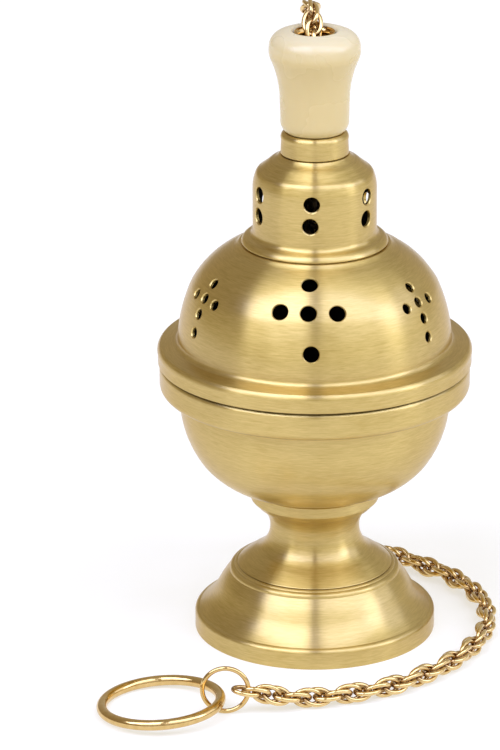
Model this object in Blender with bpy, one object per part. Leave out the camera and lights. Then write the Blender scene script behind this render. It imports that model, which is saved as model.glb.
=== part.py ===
"""Single-chain thurible: a brass fire bowl on a foot, a pierced lid that slides up the chain, and the chain itself.

The object stands on z = 0 with its axis of revolution on Z. The chain comes out of the knob, hangs down the back
(+Y), lies round the right-hand side (+X) and ends in front (-Y) in a small ring and a finger ring.
Sizes are named in millimetres and turned into metres when a mesh is made.
"""

import math

import bmesh
import bpy
from mathutils import Matrix, Vector

MM = 0.001
TOUCH_GAP = 0.3

# Driving dimensions, in millimetres.
SEAM_Z = 109.3            # where the lid rests on the bowl
SEAM_R = 60.0             # outside radius of the lid there
BOWL_R = 51.9             # outside radius of the bowl's wall
FOOT_R = 46.7             # outside radius of the foot's rim
NECK_R = 17.3             # waist of the foot
STEM_Z = 26.1             # where the foot's stem sits in its base
SPIGOT_R = 29.0
FOOT_TOP_Z = 57.6         # the foot's top plate
WALL = 1.3                # spun sheet
CUPOLA_Z = 157.5          # underside of the cupola
CUPOLA_R = 23.6
COLLAR_Z = 192.6
KNOB_Z = 201.3
KNOB_TOP_Z = 240.5

RIVET_Z = 103.0           # the bail's feet are riveted to the bowl here
RIVET_R = 1.5
STRAP_T = 1.6
STRAP_HALF_WIDTH = 4.0
STRAP_X = 50.0            # outside face of the strap's feet
STRAP_FOOT_Z = 96.5
STRAP_BEND_Z = 108.0
CROWN_Z = 150.0
PIN_R = 1.6               # the swivel pin through the crown

BOLT_R = 2.9
LINER_R = 6.8             # outside radius of the tube through the knob
LINER_BORE_R = 5.9
BODY_SEGMENTS = 44
INNER_FIT = 0.6           # inner faces are facetted more coarsely than outer ones

FIRST_AZIMUTH = -3.0      # the front group of vent holes sits a little left of the front
BIG_HOLE_R = 3.17
SMALL_HOLE_R = 2.1
CUPOLA_HOLE_Z = (170.4, 179.0)

CHAIN_R = 4.0             # over the links
LINK_WIRE_R = 0.8
LINK_HALF_LENGTH = 5.0    # to the middle of the wire
LINK_HALF_WIDTH = 3.2
LINK_PITCH = 3.95
LINK_TURN = math.radians(-45)
FIRST_LINK_Z = 164.0
INNER_LINKS = 17

SMALL_RING_R = 8.65       # to the middle of the wire
SMALL_RING_WIRE_R = 0.9
SMALL_RING_AT = Vector((-33.4, -87.0, 9.6))
FINGER_RING_R = 22.3
FINGER_RING_WIRE_R = 2.0
FINGER_RING_HINGE = Vector((-35.25, -85.4, 5.25))
FINGER_RING_TILT = (math.radians(-2.1), math.radians(-3.9))

# The chain outside the censer, from the knob's bore to the small ring.
DRAPE_ROUTE = [
    (0.0, 0.0, 233.8), (-0.3, 0.2, 237.6), (-0.8, 1.8, 241.4), (-1.1, 5.8, 244.6), (-1.4, 11.2, 245.9),
    (-1.6, 16.8, 244.4), (-1.8, 20.9, 240.2), (-2.0, 22.4, 234.6), (-2.2, 22.8, 222.0), (-2.5, 24.6, 204.0),
    (-2.8, 27.2, 189.0), (-3.0, 28.2, 178.0), (-3.0, 29.4, 169.0), (-3.0, 33.6, 161.9), (-3.0, 39.4, 156.6),
    (-3.0, 45.8, 150.9), (-3.0, 51.5, 142.4), (-3.0, 54.9, 132.0), (-3.0, 57.4, 124.5), (-3.0, 62.1, 120.3),
    (-3.0, 64.9, 114.3), (-3.0, 65.1, 105.0), (-3.0, 65.2, 85.0), (-3.0, 65.2, 60.0),
]
TABLE_ROUTE = [
    (-3.0, 65.2, 60.0), (-3.0, 65.2, 40.0), (-2.0, 65.8, 24.0), (1.6, 66.9, 11.5), (9.0, 67.8, 5.2),
    (20.0, 65.8, 4.1), (31.6, 58.6, 4.1), (41.0, 50.2, 4.1), (49.6, 42.4, 4.1), (56.6, 33.0, 4.1),
    (62.6, 21.4, 4.1), (66.4, 7.0, 4.1), (67.2, -8.0, 4.1), (63.6, -25.4, 4.1), (55.2, -43.0, 4.1),
    (43.6, -58.0, 4.1), (29.0, -70.8, 4.1), (12.5, -78.2, 4.1), (-2.0, -82.0, 4.2), (-11.0, -84.4, 5.6),
    (-18.2, -86.0, 7.4),
]
END_LINK_AT = Vector((-25.6, -87.0, 9.0))
TUBE_STEP = 8.0

MATERIALS = {
    "satin_brass": ((0.72, 0.56, 0.27), 1.0, 0.34),
    "polished_brass": ((0.80, 0.58, 0.26), 1.0, 0.12),
    "ivory_plastic": ((0.87, 0.80, 0.60), 0.0, 0.22),
    "steel": ((0.55, 0.55, 0.55), 1.0, 0.35),
}


def clear_scene():
    for obj in list(bpy.data.objects):
        bpy.data.objects.remove(obj, do_unlink=True)


def material(name):
    found = bpy.data.materials.get(name)
    if found:
        return found
    colour, metallic, roughness = MATERIALS[name]
    made = bpy.data.materials.new(name)
    made.use_nodes = True
    shader = made.node_tree.nodes["Principled BSDF"]
    shader.inputs["Base Color"].default_value = (*colour, 1.0)
    shader.inputs["Metallic"].default_value = metallic
    shader.inputs["Roughness"].default_value = roughness
    return made


def add_object(name, mesh, finish, parent=None, at=Vector((0, 0, 0))):
    """Places a mesh (in metres, about its own origin) at a point given in millimetres."""
    obj = bpy.data.objects.new(name, mesh)
    bpy.context.scene.collection.objects.link(obj)
    obj.data.materials.append(material(finish))
    if parent:
        obj.parent = parent
    obj.location = Vector(at) * MM - (parent.location if parent else Vector((0, 0, 0)))
    return obj


def add_empty(name, at):
    empty = bpy.data.objects.new(name, None)
    bpy.context.scene.collection.objects.link(empty)
    empty.location = Vector(at) * MM
    return empty


def mesh_from(name, bm, sharp_degrees=32):
    bmesh.ops.recalc_face_normals(bm, faces=bm.faces)
    mesh = bpy.data.meshes.new(name)
    bm.to_mesh(mesh)
    bm.free()
    mesh.shade_smooth()
    mesh.set_sharp_from_angle(angle=math.radians(sharp_degrees))
    return mesh


def outline(*steps, fit=0.2):
    """Points (r, z) of a turned outline. A step (r, z) is a straight; (r, z, sag) is an arc that stands proud of its
    chord by sag, positive on the right of the way it runs, which is outside when the metal is on the left. Facets
    keep within fit of their arc."""
    points = [Vector(steps[0][:2])]
    for step in steps[1:]:
        start, end = points[-1], Vector(step[:2])
        sag = step[2] if len(step) > 2 else 0.0
        if sag:
            chord = end - start
            half = chord.length / 2
            radius = (half * half + sag * sag) / (2 * abs(sag))
            sweep = 4 * math.atan(abs(sag) / half)
            side = Vector((chord.y, -chord.x)).normalized() * math.copysign(1.0, sag)
            centre = (start + end) / 2 - side * (radius - abs(sag))
            count = math.ceil(math.sqrt(abs(sag) / fit))
            turn = sweep / count * (1 if sag > 0 else -1)
            spoke = start - centre
            for index in range(1, count):
                angle = turn * index
                cos, sin = math.cos(angle), math.sin(angle)
                points.append(centre + Vector((spoke.x * cos - spoke.y * sin, spoke.x * sin + spoke.y * cos)))
        points.append(end)
    return points


def turned(name, points, segments):
    """Spins a closed outline of (r, z) points, in millimetres, about Z."""
    bm = bmesh.new()
    verts = [bm.verts.new((p[0] * MM, 0, p[1] * MM)) for p in points]
    loop = list(zip(verts, verts[1:] + verts[:1]))
    edges = [bm.edges.new(pair) for pair in loop if pair[0].co.x > 1e-7 or pair[1].co.x > 1e-7]
    bmesh.ops.spin(bm, geom=verts + edges, axis=(0, 0, 1), cent=(0, 0, 0), angle=2 * math.pi, steps=segments,
                   use_merge=True)
    bmesh.ops.remove_doubles(bm, verts=bm.verts, dist=1e-7)
    return mesh_from(name, bm)


def torus_mesh(name, ring_r, wire_r, axis, centre=Vector((0, 0, 0)), ring_steps=32, wire_steps=8):
    """A wire ring about an axis, in millimetres, with its centre off the mesh's own origin by centre."""
    bm = bmesh.new()
    start = [
        bm.verts.new(((ring_r + wire_r * math.cos(a)) * MM, 0, wire_r * math.sin(a) * MM))
        for a in (2 * math.pi * k / wire_steps for k in range(wire_steps))
    ]
    edges = [bm.edges.new(pair) for pair in zip(start, start[1:] + start[:1])]
    bmesh.ops.spin(bm, geom=start + edges, axis=(0, 0, 1), cent=(0, 0, 0), angle=2 * math.pi, steps=ring_steps,
                   use_merge=True)
    bmesh.ops.remove_doubles(bm, verts=bm.verts, dist=1e-7)
    turn = Vector((0, 0, 1)).rotation_difference(Vector(axis)).to_matrix().to_4x4()
    bmesh.ops.transform(bm, matrix=Matrix.Translation(Vector(centre) * MM) @ turn, verts=bm.verts)
    return mesh_from(name, bm, 60)


def link_mesh(name, steps=12, wire_steps=5):
    """One link of the rope chain: an oval of round wire, long along Z and wide along X."""
    bm = bmesh.new()
    rings = []
    for k in range(steps):
        angle = 2 * math.pi * k / steps
        middle = Vector((LINK_HALF_WIDTH * math.sin(angle), 0, LINK_HALF_LENGTH * math.cos(angle)))
        outward = Vector((math.sin(angle) / LINK_HALF_WIDTH, 0, math.cos(angle) / LINK_HALF_LENGTH)).normalized()
        ring = []
        for j in range(wire_steps):
            around = 2 * math.pi * j / wire_steps
            offset = outward * math.cos(around) + Vector((0, 1, 0)) * math.sin(around)
            ring.append(bm.verts.new((middle + offset * LINK_WIRE_R) * MM))
        rings.append(ring)
    for ring, after in zip(rings, rings[1:] + rings[:1]):
        for j in range(wire_steps):
            nxt = (j + 1) % wire_steps
            bm.faces.new((ring[j], ring[nxt], after[nxt], after[j]))
    return mesh_from(name, bm, 60)


def cylinder_cutter(bm, centre, axis, radius, length, sides=12):
    """Adds one cylinder to a cutter mesh; millimetres."""
    turn = Vector((0, 0, 1)).rotation_difference(axis).to_matrix().to_4x4()
    bmesh.ops.create_cone(bm, cap_ends=True, segments=sides, radius1=radius * MM, radius2=radius * MM,
                          depth=length * MM, matrix=Matrix.Translation(Vector(centre) * MM) @ turn)


def cut(obj, name, bm):
    """Takes the cutter mesh away from obj."""
    mesh = bpy.data.meshes.new(name)
    bmesh.ops.recalc_face_normals(bm, faces=bm.faces)
    bm.to_mesh(mesh)
    bm.free()
    cutter = bpy.data.objects.new(name, mesh)
    bpy.context.scene.collection.objects.link(cutter)
    cutter.hide_render = True
    cutter.display_type = "WIRE"
    boolean = obj.modifiers.new(name, "BOOLEAN")
    boolean.operation = "DIFFERENCE"
    boolean.solver = "EXACT"
    boolean.object = cutter


def add_nut(name, across_flats, bore_r, low_z, high_z, finish, parent=None):
    """A hexagon nut with a plain bore."""
    corner_r = across_flats / math.sqrt(3) * MM
    bm = bmesh.new()
    middle = Matrix.Translation((0, 0, (low_z + high_z) / 2 * MM))
    bmesh.ops.create_cone(bm, cap_ends=True, segments=6, radius1=corner_r, radius2=corner_r,
                          depth=(high_z - low_z) * MM, matrix=middle)
    nut = add_object(name, mesh_from(name, bm), finish)
    cutter = bmesh.new()
    cylinder_cutter(cutter, (0, 0, (low_z + high_z) / 2), Vector((0, 0, 1)), bore_r, 2 * (high_z - low_z), 20)
    cut(nut, "cutter_" + name, cutter)
    if parent:
        nut.parent = parent
        nut.location = -parent.location


def make_foot():
    """A spun base and, brazed into its collar by a short spigot, a waisted stem that carries the bowl."""
    base = outline(
        (FOOT_R, 0.0), (FOOT_R, 6.2), (44.9, 8.0, 0.45), (37.3, 17.4, -0.7), (33.1, 23.5, 0.2),
        (31.6, 25.4, 0.45), (31.1, 25.8, -0.15), (30.6, STEM_Z), (SPIGOT_R + TOUCH_GAP, STEM_Z),
    ) + outline(
        (SPIGOT_R + TOUCH_GAP, 24.3), (31.6, 22.9), (36.0, 16.6), (43.9, 6.9, 0.6), (44.9, 5.6), (44.9, 0.0),
        fit=INNER_FIT,
    )
    add_object("foot_base", turned("foot_base", base, BODY_SEGMENTS), "satin_brass")
    stem = outline(
        (SPIGOT_R - WALL, 23.4), (SPIGOT_R, 23.4), (SPIGOT_R, STEM_Z + TOUCH_GAP), (30.15, STEM_Z + TOUCH_GAP),
        (23.6, 30.8, 0.15), (NECK_R, 41.8, -1.8), (22.3, 50.6, -1.3), (24.2, 52.7), (24.8, 53.7, 0.2),
        (24.8, 57.3), (24.5, FOOT_TOP_Z), (BOLT_R + TOUCH_GAP, FOOT_TOP_Z),
    ) + outline(
        (BOLT_R + TOUCH_GAP, 56.1), (22.9, 56.1), (22.8, 53.9), (15.9, 41.6, 1.2), (22.7, 29.5, 1.7),
        (SPIGOT_R - WALL, 25.9), fit=INNER_FIT,
    )
    add_object("foot_stem", turned("foot_stem", stem, BODY_SEGMENTS), "satin_brass")


def make_bowl():
    points = outline(
        (BOLT_R + TOUCH_GAP, FOOT_TOP_Z + TOUCH_GAP), (24.9, FOOT_TOP_Z + TOUCH_GAP), (44.0, 70.0, 2.0),
        (BOWL_R, 97.5, 2.5), (BOWL_R, 113.0),
    ) + outline(
        (BOWL_R - WALL, 113.0), (BOWL_R - WALL, 97.5), (42.8, 70.9, -2.4), (24.4, 59.2, -1.9),
        (BOLT_R + TOUCH_GAP, 59.2), fit=INNER_FIT,
    )
    bowl = add_object("bowl", turned("bowl", points, BODY_SEGMENTS), "satin_brass")
    bm = bmesh.new()
    for side in (-1, 1):
        cylinder_cutter(bm, (side * BOWL_R, 0, RIVET_Z), Vector((1, 0, 0)), RIVET_R + TOUCH_GAP, 8)
    cut(bowl, "cutter_bowl_rivet_holes", bm)


def make_rim_band():
    inner = BOWL_R + TOUCH_GAP
    points = outline(
        (inner, 98.0), (57.2, 98.0), (59.6, 101.3, 0.65), (59.6, 107.7), (58.3, SEAM_Z - TOUCH_GAP, 0.38),
        (inner, SEAM_Z - TOUCH_GAP),
    )
    add_object("rim_band", turned("rim_band", points, BODY_SEGMENTS), "satin_brass")


DOME_OUTER = outline(
    (SEAM_R - 0.3, SEAM_Z), (SEAM_R, SEAM_Z + 0.3), (SEAM_R, 113.0), (59.2, 116.5, 0.6), (54.2, 117.4),
    (52.5, 120.0, -0.6), (47.2, 140.5, 0.95), (30.4, 155.8, 1.8), (28.9, 157.2)
)


def dome_surface(z):
    """Radius of the lid's dome at a height, and the tilt of its normal above the horizontal."""
    for low, high in zip(DOME_OUTER, DOME_OUTER[1:]):
        if low.y <= z <= high.y and low.y > 118:
            share = (z - low.y) / (high.y - low.y)
            return low.x + share * (high.x - low.x), math.atan2(low.x - high.x, high.y - low.y)
    raise ValueError(f"the dome has no surface at {z}")


def around(azimuth, radius, z):
    """A point at an azimuth in degrees, counted from the front towards +X."""
    angle = math.radians(azimuth)
    return Vector((radius * math.sin(angle), -radius * math.cos(angle), z))


def make_lid_dome(slide):
    points = DOME_OUTER + outline(
        (22.0, 157.2), (22.0, 156.0), (29.6, 155.2), (46.0, 140.0, -1.75), (51.2, 120.6, -0.95),
        (51.2, 119.4), (53.2, 116.9), (58.7, 114.2, -0.7), (58.7, 110.6), (BOWL_R + 0.4, 110.6),
        (BOWL_R + 0.4, SEAM_Z), fit=INNER_FIT,
    )
    dome = add_object("lid_dome", turned("lid_dome", points, BODY_SEGMENTS), "satin_brass", slide)
    bm = bmesh.new()
    for group in range(6):
        azimuth = FIRST_AZIMUTH + 60 * group
        if group % 2 == 0:
            holes = [(0, z) for z in (152.2, 143.8, 129.6)] + [(13.8, 143.8), (-13.8, 143.8)]
            radius = BIG_HOLE_R
        else:
            holes = [(0, z) for z in (146.7, 141.5, 135.6, 128.5)] + [(9.2, 141.0), (-9.2, 141.0)]
            radius = SMALL_HOLE_R
        for turn, z in holes:
            surface_r, tilt = dome_surface(z)
            normal = around(azimuth + turn, math.cos(tilt), math.sin(tilt))
            cylinder_cutter(bm, around(azimuth + turn, surface_r, z), normal, radius, 8, 8)
    cut(dome, "cutter_dome_holes", bm)


def make_cupola(slide):
    points = outline(
        (22.3, CUPOLA_Z), (27.6, CUPOLA_Z), (25.2, 160.2, 0.6), (CUPOLA_R, 162.4, -0.4), (CUPOLA_R, 178.4),
        (22.6, 184.4, 0.3), (20.6, 186.7, 0.35), (16.6, 190.0), (13.3, 192.3, -0.35), (LINER_R + TOUCH_GAP, 192.3),
        (LINER_R + TOUCH_GAP, 191.1), (12.5, 191.0), (15.6, 188.8), (19.6, 185.5), (22.3, 178.4, -0.8),
    )
    cupola = add_object("cupola", turned("cupola", points, 36), "satin_brass", slide)
    bm = bmesh.new()
    for group in range(6):
        for z in CUPOLA_HOLE_Z:
            azimuth = FIRST_AZIMUTH + 60 * group
            cylinder_cutter(bm, around(azimuth, CUPOLA_R, z), around(azimuth, 1, 0), BIG_HOLE_R, 8, 8)
    cut(cupola, "cutter_cupola_holes", bm)


def make_knob(slide):
    collar = outline(
        (LINER_R + TOUCH_GAP, COLLAR_Z), (13.0, COLLAR_Z), (12.75, 198.0), (11.6, 201.0, 0.65),
        (LINER_R + TOUCH_GAP, 201.0),
    )
    add_object("knob_collar", turned("knob_collar", collar, 28), "satin_brass", slide)
    grip = outline(
        (LINER_R + TOUCH_GAP, KNOB_Z), (11.2, KNOB_Z), (13.0, 205.8, 0.6), (13.25, 214.5), (16.7, 229.5, -0.75),
        (17.3, 233.8, 0.3), (13.2, 239.6, 1.2), (9.6, KNOB_TOP_Z, 0.12), (8.4, 240.0, 0.15),
        (LINER_R + TOUCH_GAP, 238.3),
    )
    add_object("knob", turned("knob", grip, 32), "ivory_plastic", slide)
    liner = outline(
        (LINER_BORE_R, 184.0), (LINER_R, 184.0), (LINER_R, 238.3), (7.85, 239.8), (7.5, 240.1), (LINER_BORE_R, 237.8),
    )
    add_object("knob_liner", turned("knob_liner", liner, 24), "polished_brass", slide)
    add_nut("liner_nut", 17.0, LINER_R + 0.3, 186.4, 190.7, "satin_brass", slide)


def make_foot_bolt():
    bolt = outline((0, 46.5), (BOLT_R, 46.5), (BOLT_R, 59.5), (5.6, 59.5), (5.4, 60.8), (0, 62.1, 0.4))
    add_object("foot_bolt", turned("foot_bolt", bolt, 20), "steel")
    washer = outline((BOLT_R + TOUCH_GAP, 54.8), (8.0, 54.8), (8.0, 55.8), (BOLT_R + TOUCH_GAP, 55.8))
    add_object("bolt_washer", turned("bolt_washer", washer, 20), "steel")
    add_nut("foot_nut", 10.0, BOLT_R + 0.3, 49.5, 54.5, "steel")


def make_coal_pan(lift):
    points = outline(
        (0, 62.7), (32.4, 62.7), (34.4, 64.4, 0.4), (39.4, 75.2), (42.3, 76.4, -0.2), (42.3, 77.4), (38.8, 76.9),
        (33.3, 64.9), (31.8, 63.9, -0.2), (0, 63.9),
    )
    add_object("coal_pan", turned("coal_pan", points, 36), "steel", lift)


def make_bail():
    """A strap arched over the bowl: two straight feet and half an ellipse between them."""
    middle = [(STRAP_X - STRAP_T / 2, STRAP_FOOT_Z)]
    steps = 22
    for k in range(steps + 1):
        angle = math.pi * k / steps
        rise = (CROWN_Z - STRAP_T / 2 - STRAP_BEND_Z) * math.sin(angle)
        middle.append(((STRAP_X - STRAP_T / 2) * math.cos(angle), STRAP_BEND_Z + rise))
    middle.append((-STRAP_X + STRAP_T / 2, STRAP_FOOT_Z))
    bm = bmesh.new()
    rings = []
    for k, (x, z) in enumerate(middle):
        before, after = middle[max(k - 1, 0)], middle[min(k + 1, len(middle) - 1)]
        run = Vector((after[0] - before[0], 0, after[1] - before[1])).normalized()
        out = Vector((run.z, 0, -run.x)) * (STRAP_T / 2)
        corners = [(1, -1), (1, 1), (-1, 1), (-1, -1)]
        rings.append([
            bm.verts.new((Vector((x, STRAP_HALF_WIDTH * wide, z)) + out * deep) * MM) for deep, wide in corners
        ])
    for ring, nxt in zip(rings, rings[1:]):
        for j in range(4):
            bm.faces.new((ring[j], ring[(j + 1) % 4], nxt[(j + 1) % 4], nxt[j]))
    bm.faces.new(rings[0][::-1])
    bm.faces.new(rings[-1])
    bail = add_object("bail", mesh_from("bail", bm), "satin_brass")
    cutter = bmesh.new()
    for side in (-1, 1):
        cylinder_cutter(cutter, (side * STRAP_X, 0, RIVET_Z), Vector((1, 0, 0)), RIVET_R + TOUCH_GAP, 8)
    cylinder_cutter(cutter, (0, 0, CROWN_Z), Vector((0, 0, 1)), PIN_R + TOUCH_GAP, 8)
    cut(bail, "cutter_bail_holes", cutter)
    inner = STRAP_X - STRAP_T - TOUCH_GAP
    head = outline((0, -1.7), (2.9, 0, 0.6), (RIVET_R, 0), (RIVET_R, BOWL_R - inner), (0, BOWL_R - inner))
    for side, name in ((-1, "bail_rivet_left"), (1, "bail_rivet_right")):
        piece = add_object(name, turned(name, head, 14), "polished_brass", at=(side * inner, 0, RIVET_Z))
        piece.rotation_euler = (0, side * math.pi / 2, 0)


def make_inner_chain(swivel):
    """The swivel eye in the bail's crown, its ring, and the links that run up through the knob."""
    under = CROWN_Z - STRAP_T - TOUCH_GAP
    over = CROWN_Z + TOUCH_GAP
    pin = outline(
        (0, under - 1.6), (3.0, under - 1.2, 0.1), (3.2, under), (PIN_R, under), (PIN_R, over), (2.5, over),
        (2.5, over + 0.9), (1.2, over + 1.9), (0, over + 1.9),
    )
    eye_at = Vector((0, 0, over + 4.3))
    eye = add_object("swivel_eye", turned("swivel_eye", pin, 16), "polished_brass", swivel)
    loop = bpy.data.objects.new("eye_loop", torus_mesh("eye_loop", 2.5, 0.8, (0, 1, 0), eye_at, 18, 6))
    bpy.context.scene.collection.objects.link(loop)
    loop.hide_render = True
    loop.display_type = "WIRE"
    weld = eye.modifiers.new("weld_loop", "BOOLEAN")
    weld.operation = "UNION"
    weld.solver = "EXACT"
    weld.object = loop
    ring_at = Vector((0, 0, eye_at.z + 3.5))
    ring = torus_mesh("anchor_ring", 3.0, 0.65, (1, 0, 0), ring_at, 18, 5)
    add_object("anchor_ring", ring, "polished_brass", swivel)
    shape = link_mesh("inner_link")
    for k in range(INNER_LINKS):
        link = add_object(f"inner_link_{k + 1:02d}", shape, "polished_brass", swivel,
                          (0, 0, FIRST_LINK_Z + k * LINK_PITCH))
        link.rotation_euler = (0, 0, k * LINK_TURN)


def smooth_route(route, step):
    """Points about one step apart on a centripetal Catmull-Rom curve through the route."""
    knots = [Vector(p) for p in route]
    knots = [2 * knots[0] - knots[1]] + knots + [2 * knots[-1] - knots[-2]]
    fine = []
    for p0, p1, p2, p3 in zip(knots, knots[1:], knots[2:], knots[3:]):
        t1 = (p1 - p0).length ** 0.5
        t2 = t1 + (p2 - p1).length ** 0.5
        t3 = t2 + (p3 - p2).length ** 0.5
        for k in range(16):
            t = t1 + (t2 - t1) * k / 16
            a1 = p0.lerp(p1, t / t1)
            a2 = p1.lerp(p2, (t - t1) / (t2 - t1))
            a3 = p2.lerp(p3, (t - t2) / (t3 - t2))
            b1 = a1.lerp(a2, t / t2)
            b2 = a2.lerp(a3, (t - t1) / (t3 - t1))
            fine.append(b1.lerp(b2, (t - t1) / (t2 - t1)))
    fine.append(knots[-2])
    along = [0.0]
    for p, q in zip(fine, fine[1:]):
        along.append(along[-1] + (q - p).length)
    count = round(along[-1] / step)
    points, at = [], 0
    for k in range(count + 1):
        goal = along[-1] * k / count
        while at < len(along) - 2 and along[at + 1] < goal:
            at += 1
        points.append(fine[at].lerp(fine[at + 1], (goal - along[at]) / (along[at + 1] - along[at])))
    return points


def chain_tube(name, points, parent=None):
    """A plain round tube for a stretch of chain."""
    curve = bpy.data.curves.new(name, "CURVE")
    curve.dimensions = "3D"
    curve.bevel_depth = CHAIN_R * MM
    curve.bevel_resolution = 2
    curve.use_fill_caps = True
    spline = curve.splines.new("POLY")
    spline.points.add(len(points) - 1)
    for knot, p in zip(spline.points, points):
        knot.co = (*(p * MM), 1)
    return add_object(name, curve, "polished_brass", parent)


def make_outer_chain(slide):
    drape = smooth_route(DRAPE_ROUTE, TUBE_STEP)
    chain_tube("chain_drape", drape, slide)
    table = smooth_route(TABLE_ROUTE, TUBE_STEP)
    table[0] = table[0] - Vector((0, 0, 2 * TOUCH_GAP))
    chain_tube("chain_table", table)
    end = add_object("end_link", link_mesh("end_link", 16, 6), "polished_brass", at=END_LINK_AT)
    along = Vector((1.0, 0.05, -0.12)).normalized()
    across = along.cross(Vector((0, 0, 1))).normalized()
    end.rotation_euler = Matrix((across, along.cross(across), along)).transposed().to_euler()


def make_rings():
    swivel_at = SMALL_RING_AT + Vector((SMALL_RING_R, 0, 0))
    mesh = torus_mesh("small_ring", SMALL_RING_R, SMALL_RING_WIRE_R, (0, 1, 0), (-SMALL_RING_R, 0, 0), 32, 6)
    add_object("small_ring", mesh, "polished_brass", at=swivel_at)
    mesh = torus_mesh("finger_ring", FINGER_RING_R, FINGER_RING_WIRE_R, (0, 0, 1), (-FINGER_RING_R, 0, 0), 40, 8)
    finger = add_object("finger_ring", mesh, "polished_brass", at=FINGER_RING_HINGE)
    finger.rotation_euler = (*FINGER_RING_TILT, 0)


def main():
    clear_scene()
    slide = add_empty("lid_slide_axis", (0, 0, SEAM_Z))
    lift = add_empty("pan_lift_axis", (0, 0, 62.7))
    swivel = add_empty("chain_swivel_axis", (0, 0, CROWN_Z))
    make_foot()
    make_foot_bolt()
    make_bowl()
    make_rim_band()
    make_coal_pan(lift)
    make_bail()
    make_inner_chain(swivel)
    make_lid_dome(slide)
    make_cupola(slide)
    make_knob(slide)
    make_outer_chain(slide)
    make_rings()


main()
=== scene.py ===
"""Looks of the single-chain thurible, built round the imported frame.

Every turned piece is spun again from a fine outline, the chain is made of its real links, and each finish is a
procedural material. Sizes are in millimetres and turned into metres when a mesh is made; z = 0 is the table.
"""

import math

import bmesh
import bpy
from mathutils import Matrix, Vector


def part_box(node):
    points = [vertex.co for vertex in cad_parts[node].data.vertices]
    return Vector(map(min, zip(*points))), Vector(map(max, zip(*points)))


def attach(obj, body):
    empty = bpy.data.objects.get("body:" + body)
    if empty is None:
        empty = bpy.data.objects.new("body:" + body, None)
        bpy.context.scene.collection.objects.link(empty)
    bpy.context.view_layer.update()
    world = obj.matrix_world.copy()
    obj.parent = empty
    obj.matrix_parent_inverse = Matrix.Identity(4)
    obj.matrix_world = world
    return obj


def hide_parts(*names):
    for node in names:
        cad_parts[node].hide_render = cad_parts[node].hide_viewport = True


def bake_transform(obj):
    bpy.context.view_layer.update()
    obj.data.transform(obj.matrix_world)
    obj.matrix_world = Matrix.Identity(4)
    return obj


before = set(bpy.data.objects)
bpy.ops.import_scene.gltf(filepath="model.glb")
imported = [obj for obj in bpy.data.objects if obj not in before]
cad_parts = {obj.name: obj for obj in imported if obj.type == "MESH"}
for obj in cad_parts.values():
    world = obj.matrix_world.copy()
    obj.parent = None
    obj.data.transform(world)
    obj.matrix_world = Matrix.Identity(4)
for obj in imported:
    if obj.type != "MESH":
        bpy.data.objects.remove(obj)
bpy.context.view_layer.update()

MM = 0.001
UP = Vector((0, 0, 1))
SPIN_STEPS = 192

# The same driving sizes as the CAD, read back from the frame where a node's box gives them.
GAP = 0.3
SEAM_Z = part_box("lid_dome")[0][2] / MM
SEAM_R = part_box("lid_dome")[1][0] / MM
FOOT_TOP_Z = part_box("foot_stem")[1][2] / MM
FOOT_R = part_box("foot_base")[1][0] / MM
STEM_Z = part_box("foot_base")[1][2] / MM
STEM_GAP = 0.12          # a brazed joint shows as a thinner line than a loose one
SPIGOT_R = 29.0
BOWL_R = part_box("bowl")[1][0] / MM
CUPOLA_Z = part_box("cupola")[0][2] / MM
COLLAR_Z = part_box("knob_collar")[0][2] / MM
KNOB_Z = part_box("knob")[0][2] / MM
KNOB_TOP_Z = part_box("knob")[1][2] / MM
CUPOLA_R = 23.6
NECK_R = 17.3
WALL = 1.3
BAND_FOOT_Z = 98.0
BOLT_R = 2.9
LINER_R = 6.8
LINER_BORE_R = 5.9

# Vent holes.
FIRST_AZIMUTH = -3.0
BIG_HOLE_R = 3.17
SMALL_HOLE_R = 2.1
HOLE_EDGE = 0.45
HOLE_UNDERSIZE = 0.12    # the edge's bright chamfer makes up the rest of the hole
CUPOLA_HOLES = ((170.4, -1.2), (179.0, 0.2))    # height, and degrees off the row

# Bail, its rivets and the swivel in its crown.
STRAP_T = 1.6
STRAP_HALF_WIDTH = 4.0
STRAP_X = 50.0
STRAP_FOOT_Z = 96.5
STRAP_BEND_Z = 108.0
CROWN_Z = 150.0
RIVET_Z = 103.0
RIVET_R = 1.5
PIN_R = 1.6
PIN_HOLE_EDGE = 0.05
PIN_HOLE_SIDES = 20

# Chain.
LINK_WIRE_R = 0.88
LINK_HALF_LENGTH = 5.0
LINK_HALF_WIDTH = 3.2
LINK_PITCH = 3.95
LINK_TURN = math.radians(-45)
FIRST_LINK_Z = 164.0
INNER_LINKS = 17
DRAPE_ROUTE = [
    (0.0, 0.0, 231.15), (0.0, 0.0, 233.8), (-0.3, 0.2, 237.6), (-0.8, 1.8, 241.4), (-1.1, 5.8, 244.6),
    (-1.4, 11.2, 245.9), (-1.6, 16.8, 244.4), (-1.8, 20.9, 240.2), (-2.0, 22.4, 234.6), (-2.2, 22.8, 222.0),
    (-2.5, 24.6, 204.0), (-2.8, 27.2, 189.0), (-3.0, 28.2, 178.0), (-3.0, 29.4, 169.0), (-3.0, 33.6, 161.9),
    (-3.0, 39.4, 156.6), (-3.0, 45.8, 150.9), (-3.0, 51.5, 142.4), (-3.0, 54.9, 132.0), (-3.0, 57.4, 124.5),
    (-3.0, 62.1, 120.3), (-3.0, 64.9, 114.3), (-3.0, 65.1, 105.0), (-3.0, 65.2, 85.0), (-3.0, 65.2, 60.0),
]
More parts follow.
